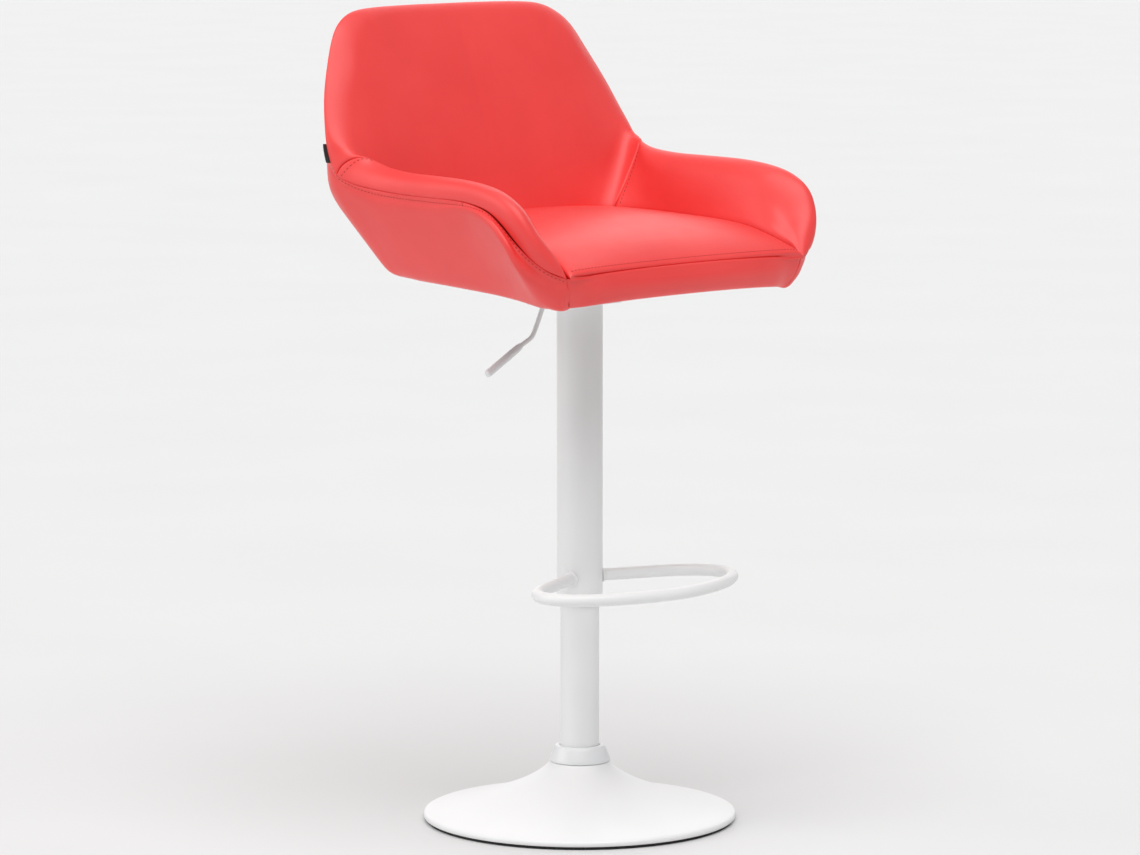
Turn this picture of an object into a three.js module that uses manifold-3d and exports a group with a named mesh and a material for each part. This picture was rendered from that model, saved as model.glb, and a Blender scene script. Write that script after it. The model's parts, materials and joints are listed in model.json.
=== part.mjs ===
// Adjustable swivel bar stool: a trumpet base with ballast, a telescoping column on a gas spring, a D-shaped footrest,
// a lift mechanism with its lever, and an upholstered bucket seat with low arms.
// Millimetres, +Z up. The seat faces -Y, so that the sitter's right is -X.
// The origin is on the floor, under the middle of the whole stool.

import * as THREE from "three";
import { mergeVertices } from "three/addons/utils/BufferGeometryUtils.js";
import Module from "manifold-3d";

const wasm = await Module();
wasm.setup();

// ---- Driving dimensions -------------------------------------------------------------------------------------------

const COLUMN_Y = -21.5; // the column axis stands in front of the middle of the stool, because the back leans out
const GAP = 0.3; // between pieces that touch

const BASE_RADIUS = 205;
const BASE_TOP = 77; // top of the trumpet, under the collar
const SHEET = 2; // the trumpet's steel sheet
const LIP = 6; // the width of its turned-in rim
const COLLAR_HEIGHT = 22;

const LOWER_TUBE_RADIUS = 25.5;
const LOWER_TUBE_WALL = 2.2;
const LOWER_TUBE_TOP = 470;
const UPPER_TUBE_RADIUS = 30;
const UPPER_TUBE_WALL = 1.5;
const UPPER_TUBE_BOTTOM = 291;
const UPPER_TUBE_TOP = 680.7;

const PRESSURE_TUBE_RADIUS = 14;
const PRESSURE_TUBE_BORE = 12.6;
const PRESSURE_TUBE_BOTTOM = 215;
const PRESSURE_TUBE_TOP = 700;
const ROD_RADIUS = 5;
const PISTON_BOTTOM = 308;
const PIN_RADIUS = 3.5; // the gas spring's release pin
const PIN_TOP = 704;

const FOOTREST_HEIGHT = 322;
const FOOTREST_TUBE_RADIUS = 8;
const FOOTREST_REACH = 190; // from the column axis to the middle of the front bar

const PLATE_TOP = 711.5; // the lift mechanism's plate, under the seat board
const PLATE_THICKNESS = 2.5;
const PLATE_SIZE = [200, 176];
const BOLT_SPACING = [155, 130];
const BOARD_BOTTOM = 712.8;
const BOARD_THICKNESS = 12;

const LEVER_PIVOT = { x: -38, z: 697 };
const LEVER_ROD_RADIUS = 3.1;
const LEVER_GRIP_RADIUS = 5.2;

const ARM_SEAM_HEIGHT = 850; // where the outer wrap is sewn to the backrest
const BACK_TOP = 1062;

const ROUND = 24; // facets round a tube
const FINE_ROUND = 40; // facets round the base

// ---- Materials ----------------------------------------------------------------------------------------------------

const material = (color, roughness, metalness = 0) => new THREE.MeshStandardMaterial({ color, roughness, metalness });
const whitePaint = material(0xe9e9e8, 0.45);
const whitePlastic = material(0xf0f1f2, 0.4);
const redLeather = material(0xe8393c, 0.5);
const blackRubber = material(0x101010, 0.8);
const blackFabric = material(0x17171a, 0.9);
const steel = material(0xb4b6b8, 0.35, 1);
const castIron = material(0x3c3d3f, 0.7, 0.8);
const plywood = material(0xc9a878, 0.7);
const nylon = material(0x2a2b2d, 0.5);

// ---- Solids -------------------------------------------------------------------------------------------------------

// A geometry with only positions, and its shared vertices merged.
function closed(geometry) {
  const bare = geometry.clone();
  bare.deleteAttribute("normal");
  bare.deleteAttribute("uv");
  return mergeVertices(bare, 1e-3);
}

function solidOf(geometry) {
  const merged = closed(geometry);
  return new wasm.Manifold(
    new wasm.Mesh({
      numProp: 3,
      vertProperties: new Float32Array(merged.attributes.position.array),
      triVerts: new Uint32Array(merged.index.array),
    }),
  );
}

function geometryOf(solid) {
  const mesh = solid.getMesh();
  return new THREE.BufferGeometry()
    .setAttribute("position", new THREE.BufferAttribute(new Float32Array(mesh.vertProperties), 3))
    .setIndex(new THREE.BufferAttribute(new Uint32Array(mesh.triVerts), 1));
}

function cut(geometry, ...tools) {
  return geometryOf(tools.reduce((left, tool) => left.subtract(solidOf(tool)), solidOf(geometry)));
}

function join(geometry, ...others) {
  return geometryOf(others.reduce((sum, other) => sum.add(solidOf(other)), solidOf(geometry)));
}

// A solid of revolution about Z from [radius, height] points, given anticlockwise with the radius to the right.
function revolve(profile, segments = ROUND) {
  const points = profile.map(([r, z]) => new THREE.Vector2(r, z));
  const onAxis = points[0].x === 0 && points.at(-1).x === 0;
  if (!onAxis) points.push(points[0].clone());
  return new THREE.LatheGeometry(points, segments).rotateX(Math.PI / 2);
}

const ring = (inner, outer, bottom, top, segments) =>
  revolve([[inner, bottom], [outer, bottom], [outer, top], [inner, top]], segments);

const rod = (radius, bottom, top, segments) => revolve([[0, bottom], [radius, bottom], [radius, top], [0, top]], segments);

const box = (x0, x1, y0, y1, z0, z1) =>
  new THREE.BoxGeometry(x1 - x0, y1 - y0, z1 - z0).translate((x0 + x1) / 2, (y0 + y1) / 2, (z0 + z1) / 2);

// A shape in X and Y, extruded from one height to another.
const prism = (shape, bottom, top, curveSegments = 6) =>
  new THREE.ExtrudeGeometry(shape, { depth: top - bottom, bevelEnabled: false, curveSegments }).translate(0, 0, bottom);

function circleShape(radius, sides = 12) {
  const corners = Array.from({ length: sides }, (_, i) => {
    const angle = (2 * Math.PI * i) / sides;
    return new THREE.Vector2(radius * Math.cos(angle), radius * Math.sin(angle));
  });
  return new THREE.Shape(corners);
}

// A round bar along a curve.
const bar = (curve, radius, steps, sides) =>
  new THREE.ExtrudeGeometry(circleShape(radius, sides), { steps, bevelEnabled: false, extrudePath: curve });

function roundedRectangle(halfX, front, back, radius) {
  const shape = new THREE.Shape();
  shape.moveTo(-halfX + radius, front);
  shape.lineTo(halfX - radius, front);
  shape.absarc(halfX - radius, front + radius, radius, -Math.PI / 2, 0);
  shape.lineTo(halfX, back - radius);
  shape.absarc(halfX - radius, back - radius, radius, 0, Math.PI / 2);
  shape.lineTo(-halfX + radius, back);
  shape.absarc(-halfX + radius, back - radius, radius, Math.PI / 2, Math.PI);
  shape.lineTo(-halfX, front + radius);
  shape.absarc(-halfX + radius, front + radius, radius, Math.PI, 1.5 * Math.PI);
  return shape;
}

// A closed solid through loops of points, each with the same number of points, with a flat fan at each end.
function loft(loops) {
  const count = loops[0].length;
  const positions = loops.flat(2);
  const index = [];
  for (let i = 0; i + 1 < loops.length; i++) {
    for (let k = 0; k < count; k++) {
      const [a, b] = [i * count + k, i * count + ((k + 1) % count)];
      index.push(a, b, b + count, a, b + count, a + count);
    }
  }
  for (const [loop, first, turn] of [[loops[0], 0, 1], [loops.at(-1), (loops.length - 1) * count, -1]]) {
    const flat = flatOf(loop);
    for (const [a, b, c] of THREE.ShapeUtils.triangulateShape(flat, [])) {
      index.push(...(turn * windingOf(flat, a, b, c) > 0 ? [a, c, b] : [a, b, c]).map((v) => v + first));
    }
  }
  const made = new THREE.BufferGeometry()
    .setAttribute("position", new THREE.BufferAttribute(new Float32Array(positions), 3))
    .setIndex(index);
  return volumeOf(made) < 0 ? turnedRound(made) : made;
}

// A loop's points seen along the axis that it faces most, turned so that they run anticlockwise.
function flatOf(loop) {
  const corners = loop.map((p) => new THREE.Vector3(...p));
  const normal = new THREE.Vector3();
  corners.forEach((p, i) => normal.add(p.clone().cross(corners[(i + 1) % corners.length])));
  const [x, y, z] = normal.toArray().map(Math.abs);
  const [u, v] = x >= y && x >= z ? [1, 2] : y >= z ? [2, 0] : [0, 1];
  const flat = loop.map((p) => new THREE.Vector2(p[u], p[v]));
  return THREE.ShapeUtils.area(flat) < 0 ? flat.map((p) => new THREE.Vector2(-p.x, p.y)) : flat;
}

const windingOf = (flat, a, b, c) => THREE.ShapeUtils.area([flat[a], flat[b], flat[c]]);

function volumeOf(geometry) {
  const at = (i) => new THREE.Vector3().fromBufferAttribute(geometry.attributes.position, geometry.index.getX(i));
  let volume = 0;
  for (let i = 0; i < geometry.index.count; i += 3) volume += at(i).dot(at(i + 1).cross(at(i + 2)));
  return volume / 6;
}

function turnedRound(geometry) {
  const index = geometry.index.array;
  for (let i = 0; i < index.length; i += 3) [index[i + 1], index[i + 2]] = [index[i + 2], index[i + 1]];
  return geometry;
}

const mix = (a, b, share) => a + (b - a) * share;

// ---- The stool ----------------------------------------------------------------------------------------------------

const stool = new THREE.Group();
stool.position.y = COLUMN_Y;

function add(name, geometry, look) {
  const mesh = new THREE.Mesh(geometry, look);
  mesh.name = name;
  stool.add(mesh);
  return mesh;
}

// ---- Base ---------------------------------------------------------------------------------------------------------

// The trumpet: steep under the collar, nearly flat near the rim, with a turned-down lip.
function trumpetProfile() {
  const neck = new THREE.Vector2(39, BASE_TOP);
  const rim = new THREE.Vector2(BASE_RADIUS - 4, 12);
  const flare = new THREE.CubicBezierCurve(neck, new THREE.Vector2(50, 62), new THREE.Vector2(86, 36), rim);
  const outer = flare.getPoints(8).map((p) => [p.x, p.y]);
  outer.push([BASE_RADIUS, 9], [BASE_RADIUS, 4.3]);
  const inner = [[BASE_RADIUS - LIP, 4.3], [BASE_RADIUS - LIP, 9]];
  inner.push(...flare.getPoints(8).reverse().map((p) => [p.x - 0.6, p.y - SHEET]));
  return [...outer, ...inner].reverse();
}

function makeBase() {
  add("base_shell", revolve(trumpetProfile(), FINE_ROUND), whitePaint);
  add("rubber_ring", ring(188, BASE_RADIUS - 4, 0, 4, FINE_ROUND), blackRubber);
  add("bottom_plate", ring(30, 187.7, 2, 5, FINE_ROUND), steel);
  add("ballast_disc", ring(47, 166, 5.3, 13.5, FINE_ROUND), castIron);

  const hubTop = BASE_TOP - 3;
  const hubOutside = [[45, 5.3], [45, 9.3], [31, 9.3], [31, hubTop - 8], [38, hubTop - 4], [38, hubTop]];
  add("base_hub", revolve([[24.6, 5.3], ...hubOutside, [25.8, hubTop], [25.8, 60]]), steel);

  const [collarBottom, collarTop] = [BASE_TOP + GAP, BASE_TOP + COLLAR_HEIGHT];
  add(
    "base_collar",
    revolve([[26.2, collarBottom], [40.2, collarBottom], [39.6, collarBottom + 4], [33, collarTop - 2.5], [30.5, collarTop], [26.2, collarTop]]),
    whitePlastic,
  );
}

// ---- Column and gas spring ----------------------------------------------------------------------------------------

function makeLowerTube() {
  const [outer, bore] = [LOWER_TUBE_RADIUS, LOWER_TUBE_RADIUS - LOWER_TUBE_WALL];
  const endHole = ROD_RADIUS + 0.6;
  const taper = [[endHole, 12], [24.3, 12], [outer, 60], [outer, LOWER_TUBE_TOP]];
  add("lower_tube", revolve([...taper, [bore, LOWER_TUBE_TOP], [bore, 60], [22.2, 16], [endHole, 16]]), whitePaint);
  const bushBore = PRESSURE_TUBE_RADIUS + GAP;
  const bushTop = LOWER_TUBE_TOP + 3;
  const bushBody = bore - GAP;
  add(
    "guide_bush",
    revolve([
      [bushBore, LOWER_TUBE_TOP - 80], [bushBody, LOWER_TUBE_TOP - 80], [bushBody, LOWER_TUBE_TOP + GAP],
      [outer - 0.5, LOWER_TUBE_TOP + GAP], [outer - 0.5, bushTop], [bushBore, bushTop],
    ]),
    nylon,
  );
}

// The rod hangs in the lower tube's end on a thrust bearing, so that everything above it can turn.
const RACE_RADIUS = 15;
const BALL_RADIUS = 2.4;
const BALL_CIRCLE = 10.3;

function makeThrustBearing() {
  const bore = ROD_RADIUS + 0.6;
  add("lower_race", ring(bore, RACE_RADIUS, 16.3, 18.3), steel);
  const middle = 18.6 + BALL_RADIUS;
  const cage = ring(8.2, 12.6, middle - 0.9, middle + 0.9);
  const balls = Array.from({ length: 6 }, (_, i) => {
    const angle = (2 * Math.PI * i) / 6;
    const ball = new THREE.SphereGeometry(BALL_RADIUS, 8, 6);
    return ball.translate(BALL_CIRCLE * Math.cos(angle), BALL_CIRCLE * Math.sin(angle), middle);
  });
  add("ball_cage", join(cage, ...balls), steel);
  add("upper_race", ring(bore, RACE_RADIUS, 23.7, 25.7), steel);
}

function makeRod() {
  const pistonTop = PISTON_BOTTOM + 12;
  const [neck, shoulder] = [ROD_RADIUS - 1, ROD_RADIUS + 2.5];
  add(
    "piston_rod",
    revolve([
      [0, 7], [ROD_RADIUS, 7], [ROD_RADIUS, 9], [neck, 9], [neck, 11.5], [ROD_RADIUS, 11.5], [ROD_RADIUS, 26],
      [shoulder, 26], [shoulder, 30], [ROD_RADIUS, 30], [ROD_RADIUS, PISTON_BOTTOM - GAP], [neck, PISTON_BOTTOM - GAP],
      [neck, pistonTop + 8], [0, pistonTop + 8],
    ]),
    steel,
  );
  add("retaining_clip", ring(neck + GAP, 10, 9.3, 11.2), steel);
  add("rubber_bumper", ring(ROD_RADIUS + GAP, 12, 30.3, 42), blackRubber);
  add("piston", ring(neck + GAP, PRESSURE_TUBE_BORE - GAP, PISTON_BOTTOM, pistonTop), nylon);
  const hexagon = rod(8, pistonTop + GAP, pistonTop + 6, 6);
  add("piston_nut", cut(hexagon, rod(neck + GAP, pistonTop, pistonTop + 7)), steel);
}

function makePressureTube() {
  const [outer, bore, bottom, top] = [PRESSURE_TUBE_RADIUS, PRESSURE_TUBE_BORE, PRESSURE_TUBE_BOTTOM, PRESSURE_TUBE_TOP];
  const pinBore = PIN_RADIUS + GAP;
  add(
    "pressure_tube",
    revolve([[bore, bottom], [outer, bottom], [outer, top - 50], [outer - 1, top], [pinBore, top], [pinBore, top - 14], [bore - 1.5, top - 14], [bore, top - 50]]),
    steel,
  );
  add("rod_guide", ring(ROD_RADIUS + GAP, bore - GAP, bottom + 1, bottom + 20), nylon);
  add("release_pin", rod(PIN_RADIUS, top - 20, PIN_TOP, 16), steel);
}

function makeUpperTube() {
  const bore = UPPER_TUBE_RADIUS - UPPER_TUBE_WALL;
  add("upper_tube", ring(bore, UPPER_TUBE_RADIUS, UPPER_TUBE_BOTTOM, UPPER_TUBE_TOP), whitePaint);
  const linerBore = LOWER_TUBE_RADIUS + GAP;
  const lip = UPPER_TUBE_BOTTOM - 3;
  add(
    "column_liner",
    revolve([
      [linerBore, lip], [UPPER_TUBE_RADIUS, lip], [UPPER_TUBE_RADIUS, lip + 2.7], [bore - GAP, lip + 2.7],
      [bore - GAP, lip + 55], [linerBore, lip + 55],
    ]),
    whitePlastic,
  );
}

// ---- Footrest -----------------------------------------------------------------------------------------------------

// Half of the D-shaped loop, from the column out to the side and round to the middle of the front bar, as [x, forward].
const FOOTREST_HALF = [[25, 10], [80, 33], [124, 53], [151, 76], [160, 104], [147, 135], [108, 163], [56, 182]];

function makeFootrest() {
  const right = FOOTREST_HALF.map(([x, forward]) => new THREE.Vector3(x, -forward, FOOTREST_HEIGHT));
  const left = right.map((p) => new THREE.Vector3(-p.x, p.y, p.z)).reverse();
  const front = new THREE.Vector3(0, -FOOTREST_REACH, FOOTREST_HEIGHT);
  const curve = new THREE.CatmullRomCurve3([...right, front, ...left], false, "centripetal");
  const loop = bar(curve, FOOTREST_TUBE_RADIUS, 48, 10);
  const column = rod(UPPER_TUBE_RADIUS + GAP, FOOTREST_HEIGHT - 30, FOOTREST_HEIGHT + 30);
  add("footrest_loop", cut(loop, column), whitePaint);
}

// ---- Lift mechanism -----------------------------------------------------------------------------------------------

const boltPlaces = [-1, 1].flatMap((x) => [-1, 1].map((y) => [(x * BOLT_SPACING[0]) / 2, (y * BOLT_SPACING[1]) / 2]));

function holesAt(radius, bottom, top) {
  return boltPlaces.map(([x, y]) => rod(radius, bottom, top, 16).translate(x, y, 0));
}

function makePlate() {
  const bottom = PLATE_TOP - PLATE_THICKNESS;
  const [halfX, halfY] = PLATE_SIZE.map((size) => size / 2);
  const plate = prism(roundedRectangle(halfX, -halfY, halfY, 14), bottom, PLATE_TOP);
  const flanges = [-1, 1].map((side) => {
    const edge = side * (halfY - 1.25);
    return box(-halfX + 16, halfX - 16, edge - 1.25, edge + 1.25, bottom - 7, bottom + 1);
  });
  add("mechanism_plate", cut(join(plate, ...flanges), ...holesAt(4.4, bottom - 1, PLATE_TOP + 1)), whitePaint);
}

const HOUSING = { left: -62, right: 42, half: 34, bottom: 681 };

function makeHousing() {
  const { left, right, half, bottom } = HOUSING;
  const top = PLATE_TOP - PLATE_THICKNESS - GAP;
  const body = box(left, right, -half, half, bottom, top);
  const hollow = box(left - 1, right - 2.5, -half + 2.5, half - 2.5, bottom + 2.5, top + 1);
  const socketHole = rod(19.4, bottom - 1, bottom + 4);
  const pivotHole = alongY(rod(3.4, -half - 1, half + 1, 16));
  add("mechanism_housing", cut(body, hollow, socketHole, pivotHole), whitePaint);
  add("taper_socket", ring(PRESSURE_TUBE_RADIUS + GAP, 19, 640, 694), steel);
  const head = [[4.6, -half - 3.5], [4.6, -half - GAP], [3, -half - GAP], [3, half + 3]];
  add("lever_pin", alongY(revolve([[0, -half - 3.5], ...head, [0, half + 3]], 16)), steel);
}

// Lays a solid that stands on Z along Y, through the lever's pivot.
function alongY(geometry) {
  return geometry.rotateX(-Math.PI / 2).translate(LEVER_PIVOT.x, 0, LEVER_PIVOT.z);
}

// The lever's rod leaves the housing, drops, and turns outwards to the grip, as [x, z] in the plane of the column axis.
const LEVER_ROUTE = [[-42, 697], [-60, 695], [-69, 688], [-75, 675], [-91, 638], [-98, 628], [-110, 621], [-125, 615]];
const GRIP_ENDS = [[-113, 619.5], [-167, 601.5]];

function makeLever() {
  const place = ([x, z]) => new THREE.Vector3(x, 0, z);
  const route = new THREE.CatmullRomCurve3(LEVER_ROUTE.map(place), false, "centripetal");
  const shaft = bar(route, LEVER_ROD_RADIUS, 26, 10);
  const hub = alongY(rod(7.5, -11, 11, 20));
  const finger = new THREE.Shape([[-40, 692], [-30, 692], [-24, 704.4], [7, 704.4], [7, 707], [-30, 707], [-44, 700]].map((p) => new THREE.Vector2(...p)));
  const fingerSolid = new THREE.ExtrudeGeometry(finger, { depth: 12, bevelEnabled: false }).rotateX(Math.PI / 2).translate(0, 6, 0);
  const bore = alongY(rod(3.3, -20, 20, 16));
  add("lever_rod", cut(join(hub, shaft, fingerSolid), bore), whitePaint);

  const [start, end] = GRIP_ENDS.map(place);
  const length = start.distanceTo(end);
  const r = LEVER_GRIP_RADIUS;
  const grip = revolve([[0, 0], [r - 1.6, 0], [r, 5], [r, length - 3], [r - 1.5, length - 0.6], [0, length]], 20);
  const lie = new THREE.Quaternion().setFromUnitVectors(new THREE.Vector3(0, 0, 1), end.clone().sub(start).normalize());
  const placed = grip.applyQuaternion(lie).translate(start.x, start.y, start.z);
  const socket = bar(route, LEVER_ROD_RADIUS + GAP, 26, 10);
  add("lever_grip", cut(placed, socket), whitePlastic);
}

function makeFasteners() {
  const plateBottom = PLATE_TOP - PLATE_THICKNESS;
  boltPlaces.forEach(([x, y], i) => {
    const washerBottom = plateBottom - GAP - 1.8;
    const headTop = washerBottom - GAP;
    const washer = ring(4.3, 8.5, washerBottom, plateBottom - GAP, 16);
    const bolt = join(rod(7.4, headTop - 5.3, headTop, 6), rod(3.9, headTop - 1, BOARD_BOTTOM + 10, 12));
    const nut = join(
      ring(4.2, 5, BOARD_BOTTOM + 0.6, BOARD_BOTTOM + BOARD_THICKNESS + 1, 12),
      ring(4.2, 10.5, BOARD_BOTTOM + BOARD_THICKNESS + GAP, BOARD_BOTTOM + BOARD_THICKNESS + 1.6, 12),
    );
    add(`seat_bolt_${i + 1}`, bolt.translate(x, y, 0), steel);
    add(`bolt_washer_${i + 1}`, washer.translate(x, y, 0), steel);
    add(`tee_nut_${i + 1}`, nut.translate(x, y, 0), steel);
  });
}

// ---- Seat board and dust cover ------------------------------------------------------------------------------------

function makeBoard() {
  const board = prism(roundedRectangle(171.5, -171.5, 99.5, 30), BOARD_BOTTOM, BOARD_BOTTOM + BOARD_THICKNESS);
  add("seat_board", cut(board, ...holesAt(5.4, BOARD_BOTTOM - 1, BOARD_BOTTOM + BOARD_THICKNESS + 1)), plywood);
  const cover = prism(roundedRectangle(171.5, -171.5, 99.5, 30), PLATE_TOP + GAP, BOARD_BOTTOM - GAP);
  add("dust_cover", cut(cover, ...holesAt(5.4, PLATE_TOP - 1, BOARD_BOTTOM + 1)), blackFabric);
}

// ---- Upholstered back ---------------------------------------------------------------------------------------------

// A rim is half of a U in plan: along one side from its front end, round the corner, and along the rear to the middle.
const SIDE_SHARE = 0.14;
const CORNER_SHARE = 0.5;

function rimPoint({ half, rear, corner, front }, share) {
  if (share < SIDE_SHARE) return [half, mix(front, rear - corner, share / SIDE_SHARE)];
  if (share < CORNER_SHARE) {
    const angle = ((share - SIDE_SHARE) / (CORNER_SHARE - SIDE_SHARE)) * (Math.PI / 2);
    return [half - corner + corner * Math.cos(angle), rear - corner + corner * Math.sin(angle)];
  }
  return [mix(half - corner, 0, (share - CORNER_SHARE) / (1 - CORNER_SHARE)), rear];
}

const BACK_BOTTOM = 720;
const SEAM_FRONT = { low: 60, high: 130 }; // the back meets the arms along a line that leans back as it rises
const OUTER = {
  low: { half: 203, rear: 166, corner: 50, front: SEAM_FRONT.low },
  high: { half: 265, rear: 232, corner: 75, front: SEAM_FRONT.high },
  lean: 0.08,
};
const INNER = {
  low: { half: 172, rear: 100, corner: 30, front: SEAM_FRONT.low },
  high: { half: 219, rear: 183, corner: 48, front: SEAM_FRONT.high },
  lean: 0.2,
};
const EDGE_TOP_HALF = 188; // half of the backrest's width just under its rounded top corners
const EDGE_FOOT = 872; // where the backrest's sloping edges rise from the arms

// A point of the padded wall: share runs from the arm seam to the middle of the back, depth from 0 outside to 1 inside.
function wallPoint(share, height, depth) {
  const side = ({ low, high, lean }) => {
    const up = Math.min(1, (height - BACK_BOTTOM) / (ARM_SEAM_HEIGHT - BACK_BOTTOM));
    const [lowX, lowY] = rimPoint(low, share);
    const [highX, highY] = rimPoint(high, share);
    return [mix(lowX, highX, up), mix(lowY, highY, up) + lean * Math.max(0, height - ARM_SEAM_HEIGHT)];
  };
  const [outer, inner] = [side(OUTER), side(INNER)];
  return [mix(outer[0], inner[0], depth), mix(outer[1], inner[1], depth), height];
}

// Where along the rim the wall starts at a height: at the arm seam, and further round as the sloping edge rises.
function edgeShare(height) {
  const rise = (height - EDGE_FOOT) / (BACK_TOP - EDGE_FOOT);
  const half = mix(263, EDGE_TOP_HALF, rise) - 26 * Math.max(0, (rise - 0.88) / 0.12) ** 2;
  const { half: full, corner } = OUTER.high;
  if (half <= full - corner) return CORNER_SHARE + (1 - CORNER_SHARE) * (1 - half / (full - corner));
  return SIDE_SHARE + (CORNER_SHARE - SIDE_SHARE) * (Math.acos((half - full + corner) / corner) / (Math.PI / 2));
}

// A level of the wall as a loop, between two depths, from the given share round to its mirror image and back.
// The shares in before come ahead of the given one.
const WALL_STEPS = 9;
function wallLoop(height, start, outside, inside, before = []) {
  const shares = [...before, ...Array.from({ length: WALL_STEPS + 1 }, (_, i) => mix(start, 1, i / WALL_STEPS))];
  const strip = (depth) => {
    const half = shares.map((share) => wallPoint(share, height, depth));
    return [...half, ...half.slice(0, -1).reverse().map(([x, y, z]) => [-x, y, z])];
  };
  return [...strip(outside), ...strip(inside).reverse()];
}

// The plywood panel inside the back, open to the back's underside. With spare, it is the slot that the panel sits in.
function backBoard(spare) {
  const levels = [722, 850, 900, 960, 1025];
  return loft(
    levels.map((level, i) => {
      const height = i === 0 ? level - 12 * spare : i === levels.length - 1 ? level + spare : level;
      const start = edgeShare(Math.max(EDGE_FOOT, level + 22)) + 0.03;
      return wallLoop(height, start, 0.42 - 0.02 * spare, 0.64 + 0.02 * spare, spare > 0 ? [start - 0.02] : []);
    }),
  );
}

function makeTag() {
  const [angle, middle] = [(140 * Math.PI) / 180, 881];
  const { half, rear, corner } = OUTER.high;
  const out = corner + 1;
  const tag = new THREE.BoxGeometry(0.8, 14, 27).rotateY(Math.atan(OUTER.lean * Math.sin(angle))).rotateZ(angle);
  const centre = [corner - half, rear - corner + OUTER.lean * (middle - ARM_SEAM_HEIGHT)];
  add("side_tag", tag.translate(centre[0] + out * Math.cos(angle), centre[1] + out * Math.sin(angle), middle), blackFabric);
}

function makeBack() {
  const foot = edgeShare(EDGE_FOOT);
  const low = [BACK_BOTTOM, 785, ARM_SEAM_HEIGHT, EDGE_FOOT].map((height) => wallLoop(height, foot, 0, 1, [0, foot * 0.6]));
  const high = [EDGE_FOOT, 900, 940, 985, 1025, 1045].map((height) => wallLoop(height, edgeShare(height), 0, 1));
  high.push(wallLoop(1056, edgeShare(1056), 0.16, 0.84), wallLoop(BACK_TOP, edgeShare(BACK_TOP), 0.36, 0.64));
  add("back_board", backBoard(0), plywood);
  add("backrest_pad", cut(join(loft(low), loft(high)), backBoard(1)), redLeather);
}

// ---- Upholstered arms ---------------------------------------------------------------------------------------------

// Sections of the arm at +X, the sitter's left, from the back to the nose, as y and eight [x, z] corners: the bottom outside, the outer seam,
// the outer shoulder, the crest, the inner shoulder, the inner face, the cushion line and the bottom inside.
// The first section lies along the seam of the back.
const ARM_SECTIONS = [
  [null, [203, 716], [265, 840], [262, 858], [242, 867], [226, 858], [219, 840], [204, 787], [173, 716]],
  [60, [205, 710], [266, 832], [263, 850], [243, 860], [225, 851], [217, 832], [208, 787], [176, 710]],
  [-30, [205, 706], [268, 828], [264, 848], [244, 858], [226, 849], [217, 829], [210, 784], [177, 706]],
  [-90, [205, 704], [270, 821], [266, 843], [246, 855], [227, 846], [218, 825], [211, 781], [177, 704]],
  [-130, [206, 703.5], [272, 801], [270, 830], [250, 849], [230, 841], [221, 815], [212, 775], [177, 703.5]],
  [-155, [208, 704], [274, 781], [270, 808], [251, 838], [233, 829], [223, 800], [212, 768], [177, 704]],
  [-175, [211, 705], [250, 762], [254, 786], [241, 812], [230, 802], [222, 782], [214, 755], [177, 705]],
  [-190, [211, 707], [228, 747], [232, 762], [228, 776], [222, 769], [218, 759], [213, 747], [178, 707]],
  [-199, [206, 712], [216, 737], [218, 742], [215, 747], [210, 746], [207, 743], [203, 738], [182, 712]],
];

const seamAt = (z) => mix(SEAM_FRONT.low, SEAM_FRONT.high, Math.min(1, (z - BACK_BOTTOM) / (ARM_SEAM_HEIGHT - BACK_BOTTOM)));

function armLoops(sections) {
  return sections.map(([y, ...corners]) => corners.map(([x, z]) => [x, y ?? seamAt(z) - GAP, z]));
}

// The plywood panel inside an arm, open to the arm's underside.
function armBoard(spare) {
  const stations = [[45, 108, 832], [10, 30, 826], [-60, -60, 818], [-118, -118, 792]];
  const half = 5 + spare;
  const at = (z) => mix(196, 245, (z - 712) / (830 - 712));
  const bottom = spare > 0 ? 700 : 722;
  return loft(
    stations.map(([low, high, top], i) => {
      const longer = i === 0 ? spare : i === stations.length - 1 ? -spare : 0;
      const [foot, head] = [low + longer, high + longer];
      const roof = top + spare;
      return [[at(bottom) + half, foot, bottom], [at(roof) + half, head, roof], [at(roof) - half, head, roof], [at(bottom) - half, foot, bottom]];
    }),
  );
}

const mirrored = (geometry) => turnedRound(geometry.clone().scale(-1, 1, 1));

function makeArms() {
  const pad = cut(loft(armLoops(ARM_SECTIONS.toReversed())), armBoard(0.3));
  const board = armBoard(0);
  add("arm_pad_left", pad, redLeather);
  add("arm_pad_right", mirrored(pad), redLeather);
  add("arm_board_left", board, plywood);
  add("arm_board_right", mirrored(board), plywood);
}

// ---- Cushion and front band ---------------------------------------------------------------------------------------

// Half of the cushion's outline from above, from the middle of its front to the middle of its back, and its edge's height.
const CUSHION_OUTLINE = [
  [0, -199], [110, -199], [190, -197], [203, -186], [205.5, -140], [205, -60], [204, 30],
  [195, 85], [188, 108], [172, 127], [148, 135], [75, 138], [0, 138],
];
const EDGE_HEIGHTS = [[-199, 744], [-190, 751], [-172, 762], [-142, 773], [-93, 780], [-40, 783], [43, 786], [138, 788]];

function edgeHeight(y) {
  const next = Math.max(1, EDGE_HEIGHTS.findIndex(([at]) => at >= y));
  const [[y0, z0], [y1, z1]] = [EDGE_HEIGHTS[next - 1], EDGE_HEIGHTS[next]];
  return mix(z0, z1, (y - y0) / (y1 - y0));
}

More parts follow.
